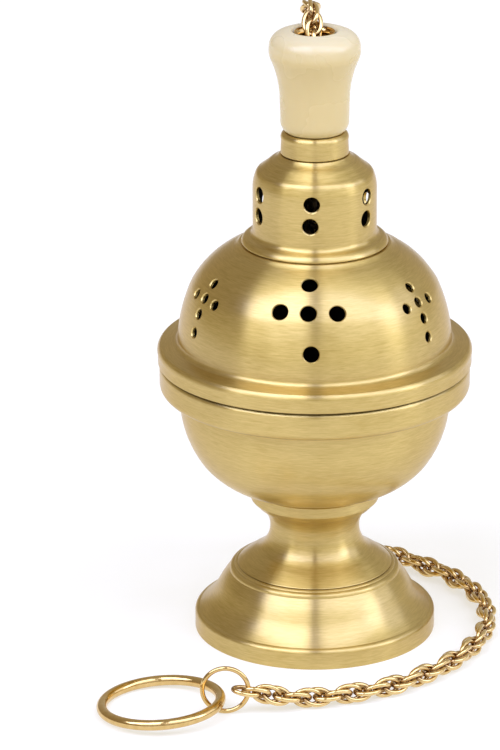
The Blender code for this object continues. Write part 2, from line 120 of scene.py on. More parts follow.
TABLE_ROUTE = [
    (-3.0, 65.2, 40.0), (-2.0, 65.8, 24.0), (1.6, 66.9, 11.5), (9.0, 67.8, 5.2), (20.0, 65.8, 4.1),
    (31.6, 58.6, 4.1), (41.0, 50.2, 4.1), (49.6, 42.4, 4.1), (56.6, 33.0, 4.1), (62.6, 21.4, 4.1),
    (66.4, 7.0, 4.1), (67.2, -8.0, 4.1), (63.6, -25.4, 4.1), (55.2, -43.0, 4.1), (43.6, -58.0, 4.1),
    (29.0, -70.8, 4.1), (12.5, -78.2, 4.1), (-2.0, -82.0, 4.2), (-11.0, -84.4, 5.6), (-18.2, -86.0, 7.4),
    (-25.6, -87.0, 9.0),
]

# Rings at the chain's end.
SMALL_RING_R = 8.65
SMALL_RING_WIRE_R = 0.9
SMALL_RING_AT = Vector((-33.4, -87.0, 9.6))
FINGER_RING_R = 22.3
FINGER_RING_WIRE_R = 2.0
FINGER_RING_HINGE = Vector((-35.25, -85.4, 5.25))
FINGER_RING_TILT = (math.radians(-2.1), math.radians(-3.9))

# Heights of the joints, where a fine dark line of painted shade is laid, and how far it spreads.
SEAMS = (FOOT_TOP_Z + 0.3, BAND_FOOT_Z + 0.05, SEAM_Z - 0.1)
SEAM_REACH = 0.45

# Camera: a long lens in front, looking down.
CAMERA_AT = (0, -1.688, 0.721)
CAMERA_TILT = 20.11      # degrees below level
CAMERA_LENS = 224.6
CAMERA_SHIFT = -0.0863

# Soft lights: two panels side by side, whose gap draws the dark line down the front of the turned brass. Each panel
# is a name, its left, right, lower and upper edge in metres, and its radiance.
PANEL_ELEVATION = math.radians(54)
PANEL_DISTANCE = 4.0
GAP_LEFT = 0.27
GAP_RIGHT = 0.29
LIGHT_COLOUR = (0.91, 1.0, 1.45)
PANELS = (
    ("panel_left", -5.2, -GAP_LEFT, -0.75, 2.0, 3.6),
    ("panel_right", GAP_RIGHT, 5.0, -0.75, 2.0, 2.3),
    ("panel_far_right", 5.0, 12.0, -0.75, 2.4, 2.4),
    ("apron_left", -3.4, -GAP_LEFT, -2.6, -0.75, 0.8),
    ("apron_right", GAP_RIGHT, 5.0, -2.6, -0.75, 0.6),
)
SIDE_PANEL_AT = (5.5, 0.0, 2.8)
SIDE_PANEL_TILT = math.radians(63)
SIDE_PANEL_SIZE = (3.0, 5.0)
SIDE_PANEL_RADIANCE = 0.9
SURROUND_LEFT = (0.36, 0.30, 0.22)
SURROUND_RIGHT = (0.60, 0.58, 0.53)
SURROUND_REACH = (-0.9, 0.6)    # where one colour ends and the other is reached, of -1 to 1 from left to right
FLOOR_HALF_WIDTH = 8

# A colour Mix node has its colour sockets behind the number and vector ones of the same names.
MIX_FIRST, MIX_SECOND, MIX_RESULT = 6, 7, 2


# ---------------------------------------------------------------- camera, light and floor

def new_object(name, data):
    """Puts an object that holds this data in the scene."""
    thing = bpy.data.objects.new(name, data)
    bpy.context.scene.collection.objects.link(thing)
    return thing


def add_camera():
    """The camera, level from side to side and tilted down."""
    data = bpy.data.cameras.new("camera")
    data.sensor_width = 36
    data.lens = CAMERA_LENS
    data.shift_x = CAMERA_SHIFT
    data.clip_end = 50
    camera = new_object("camera", data)
    camera.location = CAMERA_AT
    camera.rotation_euler = (math.radians(90 - CAMERA_TILT), 0, 0)
    bpy.context.scene.camera = camera


def add_soft_light(name, size, radiance, location, rotation):
    """A rectangular light of this width and height in metres, as bright as this all over its face."""
    data = bpy.data.lights.new(name, "AREA")
    data.shape = "RECTANGLE"
    data.size, data.size_y = size
    data.color = LIGHT_COLOUR
    data.energy = radiance * math.pi * data.size * data.size_y
    light = new_object(name, data)
    light.location = location
    light.rotation_euler = rotation


def add_lights():
    """The panels in one tilted plane in front of and above the object, and one at its side."""
    way = Vector((0, -math.cos(PANEL_ELEVATION), math.sin(PANEL_ELEVATION)))
    slope = Vector((0, math.sin(PANEL_ELEVATION), math.cos(PANEL_ELEVATION)))
    for name, left, right, low, high, radiance in PANELS:
        location = way * PANEL_DISTANCE + Vector(((left + right) / 2, 0, 0)) + slope * (low + high) / 2
        add_soft_light(name, (right - left, high - low), radiance, location, (math.pi / 2 - PANEL_ELEVATION, 0, 0))
    add_soft_light("panel_side", SIDE_PANEL_SIZE, SIDE_PANEL_RADIANCE, SIDE_PANEL_AT, (0, SIDE_PANEL_TILT, 0))


def add_surround():
    """The room all round, dim and warm on the left and lighter on the right."""
    world = bpy.data.worlds.new("studio")
    world.use_nodes = True
    tree = world.node_tree
    place = tree.nodes.new("ShaderNodeTexCoord")
    split = tree.nodes.new("ShaderNodeSeparateXYZ")
    tree.links.new(place.outputs["Generated"], split.inputs[0])
    slant = tree.nodes.new("ShaderNodeMapRange")
    tree.links.new(split.outputs["X"], slant.inputs["Value"])
    slant.inputs["From Min"].default_value, slant.inputs["From Max"].default_value = SURROUND_REACH
    sky = tree.nodes.new("ShaderNodeValToRGB")
    sky.color_ramp.elements[0].color = (*SURROUND_LEFT, 1)
    sky.color_ramp.elements[1].color = (*SURROUND_RIGHT, 1)
    tree.links.new(slant.outputs["Result"], sky.inputs["Fac"])
    tree.links.new(sky.outputs["Color"], tree.nodes["Background"].inputs["Color"])
    bpy.context.scene.world = world


def add_floor():
    """White paper, lit a little from below like a light table."""
    paper = Finish("floor_white")
    grain = paper.noise(paper.scaled(paper.place, (40, 40, 40)), detail=4)
    paper.link(paper.ramp(grain, (0.40, 0.40, 0.395), (0.42, 0.42, 0.415)), "Base Color")
    paper.set("Roughness", 0.8)
    paper.set("Specular IOR Level", 0.1)
    paper.set("Emission Color", (1, 0.98, 0.9, 1))
    paper.set("Emission Strength", 0.6)
    bm = bmesh.new()
    bmesh.ops.create_grid(bm, x_segments=2, y_segments=2, size=FLOOR_HALF_WIDTH)
    mesh = bpy.data.meshes.new("floor")
    bm.to_mesh(mesh)
    bm.free()
    mesh.materials.append(paper.material)
    floor = new_object("floor", mesh)


# ---------------------------------------------------------------- finishes

class Finish:
    """A material under construction: thin helpers round its node tree."""

    def __init__(self, name):
        self.material = bpy.data.materials.new(name)
        self.material.use_nodes = True
        self.tree = self.material.node_tree
        self.shader = self.tree.nodes["Principled BSDF"]
        self.place = self.tree.nodes.new("ShaderNodeTexCoord").outputs["Object"]

    def set(self, socket, value):
        self.shader.inputs[socket].default_value = value

    def link(self, output, socket):
        self.tree.links.new(output, self.shader.inputs[socket])

    def math(self, operation, first, second=None, third=None):
        node = self.tree.nodes.new("ShaderNodeMath")
        node.operation = operation
        for index, value in enumerate((first, second, third)):
            if isinstance(value, bpy.types.NodeSocket):
                self.tree.links.new(value, node.inputs[index])
            elif value is not None:
                node.inputs[index].default_value = value
        return node.outputs[0]

    def scaled(self, vector, factors):
        node = self.tree.nodes.new("ShaderNodeVectorMath")
        node.operation = "MULTIPLY"
        self.tree.links.new(vector, node.inputs[0])
        node.inputs[1].default_value = factors
        return node.outputs[0]

    def axis_distance(self):
        """Distance from the axis of revolution."""
        flat = self.scaled(self.place, (1, 1, 0))
        node = self.tree.nodes.new("ShaderNodeVectorMath")
        node.operation = "LENGTH"
        self.tree.links.new(flat, node.inputs[0])
        return node.outputs["Value"]

    def noise(self, vector, w=None, scale=1.0, detail=2.0, roughness=0.5):
        node = self.tree.nodes.new("ShaderNodeTexNoise")
        node.noise_dimensions = "3D" if w is None else "4D"
        self.tree.links.new(vector, node.inputs["Vector"])
        if w is not None:
            self.tree.links.new(w, node.inputs["W"])
        node.inputs["Scale"].default_value = scale
        node.inputs["Detail"].default_value = detail
        node.inputs["Roughness"].default_value = roughness
        return node.outputs["Fac"]

    def turning_marks(self, across, along, detail=3.0):
        """Noise drawn out round the axis: marks this fine across the lines and this long along them, per metre."""
        distance = self.math("MULTIPLY", self.axis_distance(), across)
        return self.noise(self.scaled(self.place, (along, along, across)), w=distance, detail=detail, roughness=0.6)

    def span(self, value, low, high, from_low=0.3, from_high=0.7):
        """Carries a value from one range of numbers to another and keeps it inside."""
        node = self.tree.nodes.new("ShaderNodeMapRange")
        self.tree.links.new(value, node.inputs["Value"])
        for socket, number in (("From Min", from_low), ("From Max", from_high), ("To Min", low), ("To Max", high)):
            node.inputs[socket].default_value = number
        return node.outputs["Result"]

    def ramp(self, value, low, high, from_low=0.3, from_high=0.7):
        """The same between two colours."""
        node = self.tree.nodes.new("ShaderNodeValToRGB")
        node.color_ramp.elements[0].position = from_low
        node.color_ramp.elements[0].color = (*low, 1)
        node.color_ramp.elements[1].position = from_high
        node.color_ramp.elements[1].color = (*high, 1)
        self.tree.links.new(value, node.inputs["Fac"])
        return node.outputs["Color"]

    def bump(self, height, distance, strength=1.0, under=None):
        node = self.tree.nodes.new("ShaderNodeBump")
        node.inputs["Strength"].default_value = strength
        node.inputs["Distance"].default_value = distance
        self.tree.links.new(height, node.inputs["Height"])
        if under is not None:
            self.tree.links.new(under, node.inputs["Normal"])
        return node.outputs["Normal"]

    def crevices(self, heights, reach):
        """1 in the seams at these heights above the table, fading to 0 within reach; all in metres."""
        split = self.tree.nodes.new("ShaderNodeSeparateXYZ")
        self.tree.links.new(self.place, split.inputs[0])
        total = None
        for height in heights:
            away = self.math("ABSOLUTE", self.math("SUBTRACT", split.outputs["Z"], height))
            here = self.span(away, 1.0, 0.0, 0.35 * reach, reach)
            total = here if total is None else self.math("MAXIMUM", total, here)
        return total

    def mix(self, factor, first, second):
        """Goes from a colour output to a plain colour as the factor grows."""
        node = self.tree.nodes.new("ShaderNodeMix")
        node.data_type = "RGBA"
        self.tree.links.new(factor, node.inputs["Factor"])
        self.tree.links.new(first, node.inputs[MIX_FIRST])
        node.inputs[MIX_SECOND].default_value = (*second, 1)
        return node.outputs[MIX_RESULT]

    def round_the_axis(self):
        """Turns the stretched highlight across the turning marks."""
        node = self.tree.nodes.new("ShaderNodeTangent")
        node.direction_type = "RADIAL"
        node.axis = "Z"
        self.link(node.outputs["Tangent"], "Tangent")
        self.set("Anisotropic Rotation", 0.25)

    def drawn_wire(self):
        """Faint ripples from bending and fine scuffs from handling; returns the ripples."""
        self.set("Metallic", 1.0)
        ripple = self.noise(self.place, scale=420, detail=2)
        scuff = self.noise(self.scaled(self.place, (900, 900, 2600)), detail=3, roughness=0.6)
        self.link(self.span(scuff, 0.08, 0.16), "Roughness")
        self.link(self.bump(ripple, 0.00009, 0.5), "Normal")
        return ripple


def satin_brass():
    """Brass turned on a lathe and lacquered: fine lines round the axis, so highlights run up and down."""
    finish = Finish("satin_brass")
    finish.set("Metallic", 1.0)
    finish.set("Anisotropic", 0.95)
    finish.set("Specular Tint", (0.75, 0.58, 0.3, 1))
    finish.set("Coat Weight", 0.9)
    finish.set("Coat Roughness", 0.26)
    finish.set("Coat IOR", 1.6)
    finish.round_the_axis()
    lines = finish.turning_marks(1300, 130)
    hair = finish.turning_marks(3400, 260, detail=2)
    clouds = finish.noise(finish.place, scale=45, detail=3)
    tone = finish.math("ADD", finish.math("MULTIPLY", lines, 0.35), finish.math("MULTIPLY", clouds, 0.25))
    tone = finish.math("MULTIPLY_ADD", hair, 0.4, tone)
    brass = finish.ramp(tone, (0.53, 0.372, 0.09), (0.69, 0.508, 0.162), 0.38, 0.62)
    # Painted shade: a fine dark brown line along each joint, where the shadow of the gap falls.
    painted_seam_shade = finish.crevices([z * MM for z in SEAMS], SEAM_REACH * MM)
    finish.link(finish.mix(painted_seam_shade, brass, (0.36, 0.24, 0.09)), "Base Color")
    wear = finish.math("ADD", finish.math("MULTIPLY", lines, 0.5), finish.math("MULTIPLY", clouds, 0.5))
    finish.link(finish.span(wear, 0.29, 0.37), "Roughness")
    fine = finish.bump(hair, 0.000006)
    finish.link(finish.bump(lines, 0.000014, under=fine), "Normal")
    return finish.material


def soot_and_shade_brass():
    """The inside, dulled by smoke and painted nearly black as the shade in the hollows, under the foot too."""
    finish = Finish("soot_and_shade_inside")
    finish.set("Metallic", 0.6)
    soot = finish.noise(finish.place, scale=90, detail=5, roughness=0.6)
    # Soot and painted shade: the inside is painted nearly black, for the smoke and for the unlit hollows.
    finish.link(finish.ramp(soot, (0.010, 0.009, 0.008), (0.035, 0.028, 0.018)), "Base Color")
    finish.link(finish.span(soot, 0.55, 0.75), "Roughness")
    finish.link(finish.bump(soot, 0.0001, 0.4), "Normal")
    return finish.material


def polished_brass():
    """Bright drawn wire, nearly a mirror."""
    finish = Finish("polished_brass")
    ripple = finish.drawn_wire()
    finish.link(finish.ramp(ripple, (0.64, 0.435, 0.165), (0.72, 0.51, 0.215)), "Base Color")
    return finish.material


def chain_wire():
    """The bright wire of the outside chain, with painted brown shade deep between its links, where they shadow each
    other. The mesh holds each point's distance from the chain's middle line, in millimetres."""
    finish = Finish("chain_wire")
    ripple = finish.drawn_wire()
    finish.set("Coat Weight", 0.4)
    finish.set("Coat Roughness", 0.08)
    finish.set("Coat IOR", 1.6)
    depth = finish.tree.nodes.new("ShaderNodeAttribute")
    depth.attribute_name = "from_middle"
    # Painted shade: the wire turns dark brown towards the chain's middle line, deep between the links.
    painted_link_shade = finish.span(depth.outputs["Fac"], 0.8, 0.0, 0.9, 3.0)
    wire = finish.ramp(ripple, (0.72, 0.50, 0.195), (0.82, 0.60, 0.26))
    finish.link(finish.mix(painted_link_shade, wire, (0.27, 0.14, 0.05)), "Base Color")
    return finish.material


def sooty_wire():
    """The chain inside the censer: the same wire, browned and dulled by years of smoke."""
    finish = Finish("sooty_wire")
    finish.set("Metallic", 1.0)
    soot = finish.noise(finish.place, scale=500, detail=4, roughness=0.6)
    finish.link(finish.ramp(soot, (0.05, 0.035, 0.02), (0.16, 0.105, 0.05)), "Base Color")
    finish.link(finish.span(soot, 0.3, 0.55), "Roughness")
    return finish.material


def ivory_plastic():
    """Cast resin the colour of old ivory, and polished; its colour is painted lighter towards the top, as light on
    the top and shade under the bulge.
    """
    finish = Finish("ivory_plastic")
    split = finish.tree.nodes.new("ShaderNodeSeparateXYZ")
    finish.tree.links.new(finish.place, split.inputs[0])
    clouds = finish.noise(finish.scaled(finish.place, (60, 60, 60)), detail=2)
    # Painted light and shade: tan below, paler and lighter at the top where the light falls.
    painted_light_by_height = finish.span(split.outputs["Z"], 0.0, 1.0, 0.2315, 0.2430)
    finish.link(finish.ramp(painted_light_by_height, (0.635, 0.495, 0.218), (0.72, 0.64, 0.43), 0.0, 1.0), "Base Color")
    finish.set("Subsurface Weight", 0.2)
    finish.set("Subsurface Radius", (1.0, 0.75, 0.45))
    finish.set("Subsurface Scale", 0.003)
    finish.set("Coat Weight", 0.25)
    finish.set("Coat Roughness", 0.15)
    finish.link(finish.span(clouds, 0.26, 0.29), "Roughness")
    return finish.material


def plain_steel():
    """Dull grey steel with turning marks, a little browned by heat."""
    finish = Finish("steel")
    finish.set("Metallic", 1.0)
    lines = finish.turning_marks(1600, 160)
    heat = finish.noise(finish.place, scale=60, detail=3)
    finish.link(finish.ramp(heat, (0.42, 0.40, 0.38), (0.56, 0.56, 0.56)), "Base Color")
    finish.link(finish.span(lines, 0.3, 0.45), "Roughness")
    finish.link(finish.bump(lines, 0.00001), "Normal")
    return finish.material


FINISHES = {
    "satin_brass": satin_brass(),
    "soot_and_shade_inside": soot_and_shade_brass(),
    "polished_brass": polished_brass(),
    "chain_wire": chain_wire(),
    "sooty_wire": sooty_wire(),
    "ivory_plastic": ivory_plastic(),
    "steel": plain_steel(),
}


# ---------------------------------------------------------------- mesh helpers

def add_piece(name, mesh, finish, body, *nodes, inside=None, slot=None):
    """Adds a mesh as a piece that rides on a body and hides the CAD nodes that it stands for."""
    piece = new_object(name, mesh)
    mesh.materials.append(FINISHES[finish])
    if inside:
        mesh.materials.append(FINISHES[inside])
    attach(piece, body)
    if nodes:
        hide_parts(*nodes)
    return piece


def smooth(mesh, sharp_degrees):
    """Shades a mesh smooth, but for edges that turn more than this."""
    mesh.shade_smooth()
    mesh.set_sharp_from_angle(angle=math.radians(sharp_degrees))


def mesh_from(name, bm, sharp_degrees=50):
    """Makes a smooth mesh and frees the bmesh."""
    mesh = bpy.data.meshes.new(name)
    bm.to_mesh(mesh)
    bm.free()
    smooth(mesh, sharp_degrees)
    return mesh


def circle(steps):
    """Cosine and sine at equal steps round a circle."""
    return [(math.cos(2 * math.pi * k / steps), math.sin(2 * math.pi * k / steps)) for k in range(steps)]


def outline(*steps, fit=0.015):
    """Points (r, z) of a turned outline. A step (r, z) is a straight; (r, z, sag) is an arc that stands proud of its
    chord by sag, positive on the right of the way it runs, which is outside when the metal is on the left."""
    points = [Vector(steps[0][:2])]
    for step in steps[1:]:
        start, end = points[-1], Vector(step[:2])
        sag = step[2] if len(step) > 2 else 0.0
        if sag:
            chord = end - start
            half = chord.length / 2
            radius = (half * half + sag * sag) / (2 * abs(sag))
            sweep = 4 * math.atan(abs(sag) / half)
            side = Vector((chord.y, -chord.x)).normalized() * math.copysign(1.0, sag)
            centre = (start + end) / 2 - side * (radius - abs(sag))
            count = math.ceil(math.sqrt(abs(sag) / fit))
            turn = sweep / count * (1 if sag > 0 else -1)
            spoke = start - centre
            for index in range(1, count):
                cos, sin = math.cos(turn * index), math.sin(turn * index)
                points.append(centre + Vector((spoke.x * cos - spoke.y * sin, spoke.x * sin + spoke.y * cos)))
        points.append(end)
    return points


def eased(points, radius, steps=4, sharp=math.radians(24)):
    """Rounds the sharp corners of an open run of outline points; its two ends stay."""
    result = [points[0]]
    for before, at, after in zip(points, points[1:], points[2:]):
        back, ahead = before - at, after - at
        turn = math.pi - back.angle(ahead)
        if turn < sharp:
            result.append(at)
            continue
        reach = min(radius * math.tan(turn / 2), 0.45 * back.length, 0.45 * ahead.length)
        first, last = at + back.normalized() * reach, at + ahead.normalized() * reach
        for k in range(steps + 1):
            t = k / steps
            result.append((1 - t) ** 2 * first + 2 * t * (1 - t) * at + t * t * last)
    result.append(points[-1])
    return result


def stepped(points, longest):
    """Cuts long straights so that no facet is longer than this along the outline."""
    result = [points[0]]
    for start, end in zip(points, points[1:]):
        count = max(1, math.ceil((end - start).length / longest))
        result += [start.lerp(end, k / count) for k in range(1, count + 1)]
    return result


def turned(name, outer, inner=(), steps=SPIN_STEPS, ease=0.35, longest=2.5):
    """Spins a closed outline about Z: an outer run that shows and an inner run, whose faces take the second
    material."""
    outer = stepped(eased(list(outer) + list(inner[:1]), ease), longest)
    if inner:
        outer = outer[:-1]
        inner = stepped(eased(list(inner), ease), longest)
    points = list(outer) + list(inner)
    spokes = circle(steps)
    bm = bmesh.new()
    columns = []
    for point in points:
        r, z = max(point[0], 0.0) * MM, point[1] * MM
        if r < 1e-7:
            pole = bm.verts.new((0, 0, z))
            columns.append([pole] * steps)
        else:
            columns.append([bm.verts.new((r * cos, r * sin, z)) for cos, sin in spokes])
    for index, (low, high) in enumerate(zip(columns, columns[1:] + columns[:1])):
        shade = 1 if inner and index >= len(outer) - 1 else 0
        for k in range(steps):
            n = (k + 1) % steps
            corners = list(dict.fromkeys((low[k], low[n], high[n], high[k])))
            if len(corners) > 2:
                bm.faces.new(corners).material_index = shade
    bmesh.ops.recalc_face_normals(bm, faces=bm.faces)
    return mesh_from(name, bm)


def ring_mesh(name, ring_r, wire_r, axis, centre=Vector((0, 0, 0)), ring_steps=128, wire_steps=24):
    """A wire ring about an axis."""
    wire = [(ring_r + wire_r * cos, wire_r * sin) for cos, sin in circle(wire_steps)]
    bm = bmesh.new()
    rings = []
    for cos, sin in circle(ring_steps):
        rings.append([bm.verts.new((r * cos * MM, r * sin * MM, z * MM)) for r, z in wire])
    stitch(bm, rings)
    turn = UP.rotation_difference(Vector(axis)).to_matrix().to_4x4()
    bmesh.ops.transform(bm, matrix=Matrix.Translation(Vector(centre) * MM) @ turn, verts=bm.verts)
    return mesh_from(name, bm)


def stitch(bm, rings):
    """Joins closed rings of vertices, each to the next and the last to the first."""
    for ring, after in zip(rings, rings[1:] + rings[:1]):
        for j in range(len(ring)):
            n = (j + 1) % len(ring)
            bm.faces.new((ring[j], after[j], after[n], ring[n]))


def stitch_rod(bm, rings):
    """Joins closed rings of vertices, each to the next, and closes both ends."""
    for ring, after in zip(rings, rings[1:]):
        for j in range(len(ring)):
            n = (j + 1) % len(ring)
            bm.faces.new((ring[j], ring[n], after[n], after[j]))
    bm.faces.new(rings[0][::-1])
    bm.faces.new(rings[-1])


def add_link(bm, place, steps=26, wire_steps=10):
    """Adds one chain link: an oval of round wire, long along the place's Z and wide along its X."""
    rings = []
    for up, out in circle(steps):
        middle = Vector((LINK_HALF_WIDTH * out, 0, LINK_HALF_LENGTH * up))
        outward = Vector((out / LINK_HALF_WIDTH, 0, up / LINK_HALF_LENGTH)).normalized()
        ring = []
        for cos, sin in circle(wire_steps):
            offset = outward * cos + Vector((0, 1, 0)) * sin
            ring.append(bm.verts.new(place @ ((middle + offset * LINK_WIRE_R) * MM)))
        rings.append(ring)
    stitch(bm, rings)


def cut(piece, bm, operation="DIFFERENCE"):
    """Applies a Boolean with a cutter mesh."""
    bmesh.ops.recalc_face_normals(bm, faces=bm.faces)
    mesh = bpy.data.meshes.new("cutter")
    bm.to_mesh(mesh)
    bm.free()
    cutter = new_object("cutter", mesh)
    boolean = piece.modifiers.new("cut", "BOOLEAN")
    boolean.operation = operation
    boolean.solver = "EXACT"
    boolean.object = cutter
    bpy.context.view_layer.update()
    evaluated = piece.evaluated_get(bpy.context.evaluated_depsgraph_get())
    result = bpy.data.meshes.new_from_object(evaluated)
    piece.modifiers.clear()
    piece.data = result
    smooth(result, 38)
    bpy.data.objects.remove(cutter, do_unlink=True)


def even_shading(piece):
    """Keeps the broad faces' shading true beside narrow rounded edges."""
    weighted = piece.modifiers.new("even_shading", "WEIGHTED_NORMAL")
    weighted.keep_sharp = True
    weighted.weight = 60


def add_turned(name, finish, body, node, outer, inner=(), holes=None, **turning):
    """Adds a turned piece. An inner run takes the sooty finish that is painted nearly black as shade, and holes are
    the mesh that cuts them.
    """
    piece = add_piece(name, turned(name, outer, inner, **turning), finish, body, node,
                      inside="soot_and_shade_inside" if inner else None)
    if holes is not None:
        cut(piece, holes)
    even_shading(piece)


def add_plug(bm, at, axis, radius, edge, sides=32):
    """Adds a hole's cutter that opens out by edge at the surface, so that the hole gets a small bright chamfer."""
    turn = UP.rotation_difference(axis).to_matrix().to_4x4()
    place = Matrix.Translation(Vector(at) * MM) @ turn
    profile = [(radius, -5), (radius, -edge), (radius + edge, 0.02), (radius + edge, 3)]
    stitch_rod(bm, [
        [bm.verts.new(place @ (Vector((r * cos, r * sin, depth)) * MM)) for cos, sin in circle(sides)]
        for r, depth in profile
    ])


def add_rivet_plugs(bm, x):
    """Adds the cutters of the two rivet holes, through walls this far from the axis."""
    for side in (-1, 1):
        add_plug(bm, (side * x, 0, RIVET_Z), Vector((side, 0, 0)), RIVET_R + GAP, PIN_HOLE_EDGE, PIN_HOLE_SIDES)


def around(azimuth, radius, z):
    """A point at an azimuth in degrees, counted from the front towards +X."""
    angle = math.radians(azimuth)
    return Vector((radius * math.sin(angle), -radius * math.cos(angle), z))


# ---------------------------------------------------------------- the chain

def smooth_route(route, step, cuts=16):
    """Points about one step apart on a centripetal Catmull-Rom curve through the route, whose every stretch is first
    drawn with this many cuts."""
    knots = [Vector(p) for p in route]
    knots = [2 * knots[0] - knots[1]] + knots + [2 * knots[-1] - knots[-2]]
    fine = []
    for p0, p1, p2, p3 in zip(knots, knots[1:], knots[2:], knots[3:]):
        t1 = (p1 - p0).length ** 0.5
        t2 = t1 + (p2 - p1).length ** 0.5
        t3 = t2 + (p3 - p2).length ** 0.5
        for k in range(cuts):
            t = t1 + (t2 - t1) * k / cuts
            a1 = p0.lerp(p1, t / t1)
            a2 = p1.lerp(p2, (t - t1) / (t2 - t1))
            a3 = p2.lerp(p3, (t - t2) / (t3 - t2))
            fine.append(a1.lerp(a2, t / t2).lerp(a2.lerp(a3, (t - t1) / (t3 - t1)), (t - t1) / (t2 - t1)))
    fine.append(knots[-2])
    along = [0.0]
    for p, q in zip(fine, fine[1:]):
        along.append(along[-1] + (q - p).length)
    count = round(along[-1] / step)
    points, at = [], 0
    for k in range(count + 1):
        goal = along[-1] * k / count
        while at < len(along) - 2 and along[at + 1] < goal:
            at += 1
        points.append(fine[at].lerp(fine[at + 1], (goal - along[at]) / (along[at + 1] - along[at])))
    return points


def route_frames(points):
    """A direction of travel and a side vector at each point, carried along without twist."""
    frames = []
    side = Vector((1, 0, 0))
    for k, point in enumerate(points):
        ahead = (points[min(k + 1, len(points) - 1)] - points[max(k - 1, 0)]).normalized()
        side = (side - ahead * side.dot(ahead)).normalized()
        frames.append((point, ahead, side.copy()))
    return frames


def make_outer_chain():
    """The chain outside the knob, one mesh of linked ovals. Each link is turned an eighth of a turn from the last,
    with a trace more or less so that the end one lies flat for the small ring."""
    frames = route_frames(smooth_route(DRAPE_ROUTE + TABLE_ROUTE, LINK_PITCH))
    first_turn = INNER_LINKS * LINK_TURN
    point, ahead, side = frames[-1]
    flat = ahead.cross(UP).normalized()
    end_turn = math.atan2(ahead.dot(side.cross(flat)), side.dot(flat))
    planned = first_turn + (len(frames) - 1) * LINK_TURN
    spare = (end_turn - planned + math.pi / 2) % math.pi - math.pi / 2
    bm = bmesh.new()
    for k, (point, ahead, side) in enumerate(frames):
        turn = first_turn + k * (LINK_TURN + spare / (len(frames) - 1))
        wide = Matrix.Rotation(turn, 3, ahead) @ side
        axes = Matrix((wide, ahead.cross(wide), ahead)).transposed().to_4x4()
        add_link(bm, Matrix.Translation(point * MM) @ axes)
    mesh = mesh_from("chain", bm)
    depth = mesh.attributes.new("from_middle", "FLOAT", "POINT")
    per_link = len(mesh.vertices) // len(frames)
    for vertex in mesh.vertices:
        point, ahead, side = frames[vertex.index // per_link]
        away = vertex.co / MM - point
        depth.data[vertex.index].value = (away - ahead * away.dot(ahead)).length
    chain = new_object("chain", mesh)
    mesh.materials.append(FINISHES["chain_wire"])
    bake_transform(chain)
    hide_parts("chain_drape", "chain_table", "end_link")
    path = [point * MM for point in smooth_route(DRAPE_ROUTE + TABLE_ROUTE, 2.0)]
    return chain, path


def make_rings():
    """The small ring in the last link, and the finger ring hinged on it."""
    mesh = ring_mesh("small_ring_wire", SMALL_RING_R, SMALL_RING_WIRE_R, (0, 1, 0), SMALL_RING_AT)
    small = add_piece("small_ring_wire", mesh, "polished_brass", "small_ring", "small_ring")
    mesh = ring_mesh("finger_ring_wire", FINGER_RING_R, FINGER_RING_WIRE_R, UP, (-FINGER_RING_R, 0, 0), 192, 32)
    tilt = Matrix.Rotation(FINGER_RING_TILT[1], 4, "Y") @ Matrix.Rotation(FINGER_RING_TILT[0], 4, "X")
    mesh.transform(Matrix.Translation(FINGER_RING_HINGE * MM) @ tilt)
    finger = add_piece("finger_ring_wire", mesh, "polished_brass", "finger_ring", "finger_ring")
    return small, finger


def make_inner_chain():
    """The swivel eye in the bail's crown, its ring, and the links that run up through the knob."""
    under = CROWN_Z - STRAP_T - GAP
    over = CROWN_Z + GAP
    pin = outline(
        (0, under - 1.6), (3.0, under - 1.2, 0.1), (3.2, under), (PIN_R, under), (PIN_R, over), (2.5, over),
        (2.5, over + 0.9), (1.2, over + 1.9), (0, over + 1.9),
    )
    add_piece("swivel_pin", turned("swivel_pin", pin, steps=40, ease=0.2), "polished_brass", "inner_chain")
    eye_at = Vector((0, 0, over + 4.3))
    mesh = ring_mesh("swivel_loop", 2.5, 0.8, (0, 1, 0), eye_at, 48, 14)
    add_piece("swivel_loop", mesh, "polished_brass", "inner_chain", "swivel_eye")
    mesh = ring_mesh("anchor_wire", 3.0, 0.65, (1, 0, 0), eye_at + Vector((0, 0, 3.5)), 48, 14)
    add_piece("anchor_wire", mesh, "polished_brass", "inner_chain", "anchor_ring")
    bm = bmesh.new()
    for k in range(INNER_LINKS):
        at = Vector((0, 0, FIRST_LINK_Z + k * LINK_PITCH)) * MM
        add_link(bm, Matrix.Translation(at) @ Matrix.Rotation(k * LINK_TURN, 4, "Z"))
    links = [f"inner_link_{k + 1:02d}" for k in range(INNER_LINKS)]
    add_piece("inner_chain_links", mesh_from("inner_chain_links", bm), "sooty_wire", "inner_chain", *links,
              slot="polished_brass")


# ---------------------------------------------------------------- turned pieces

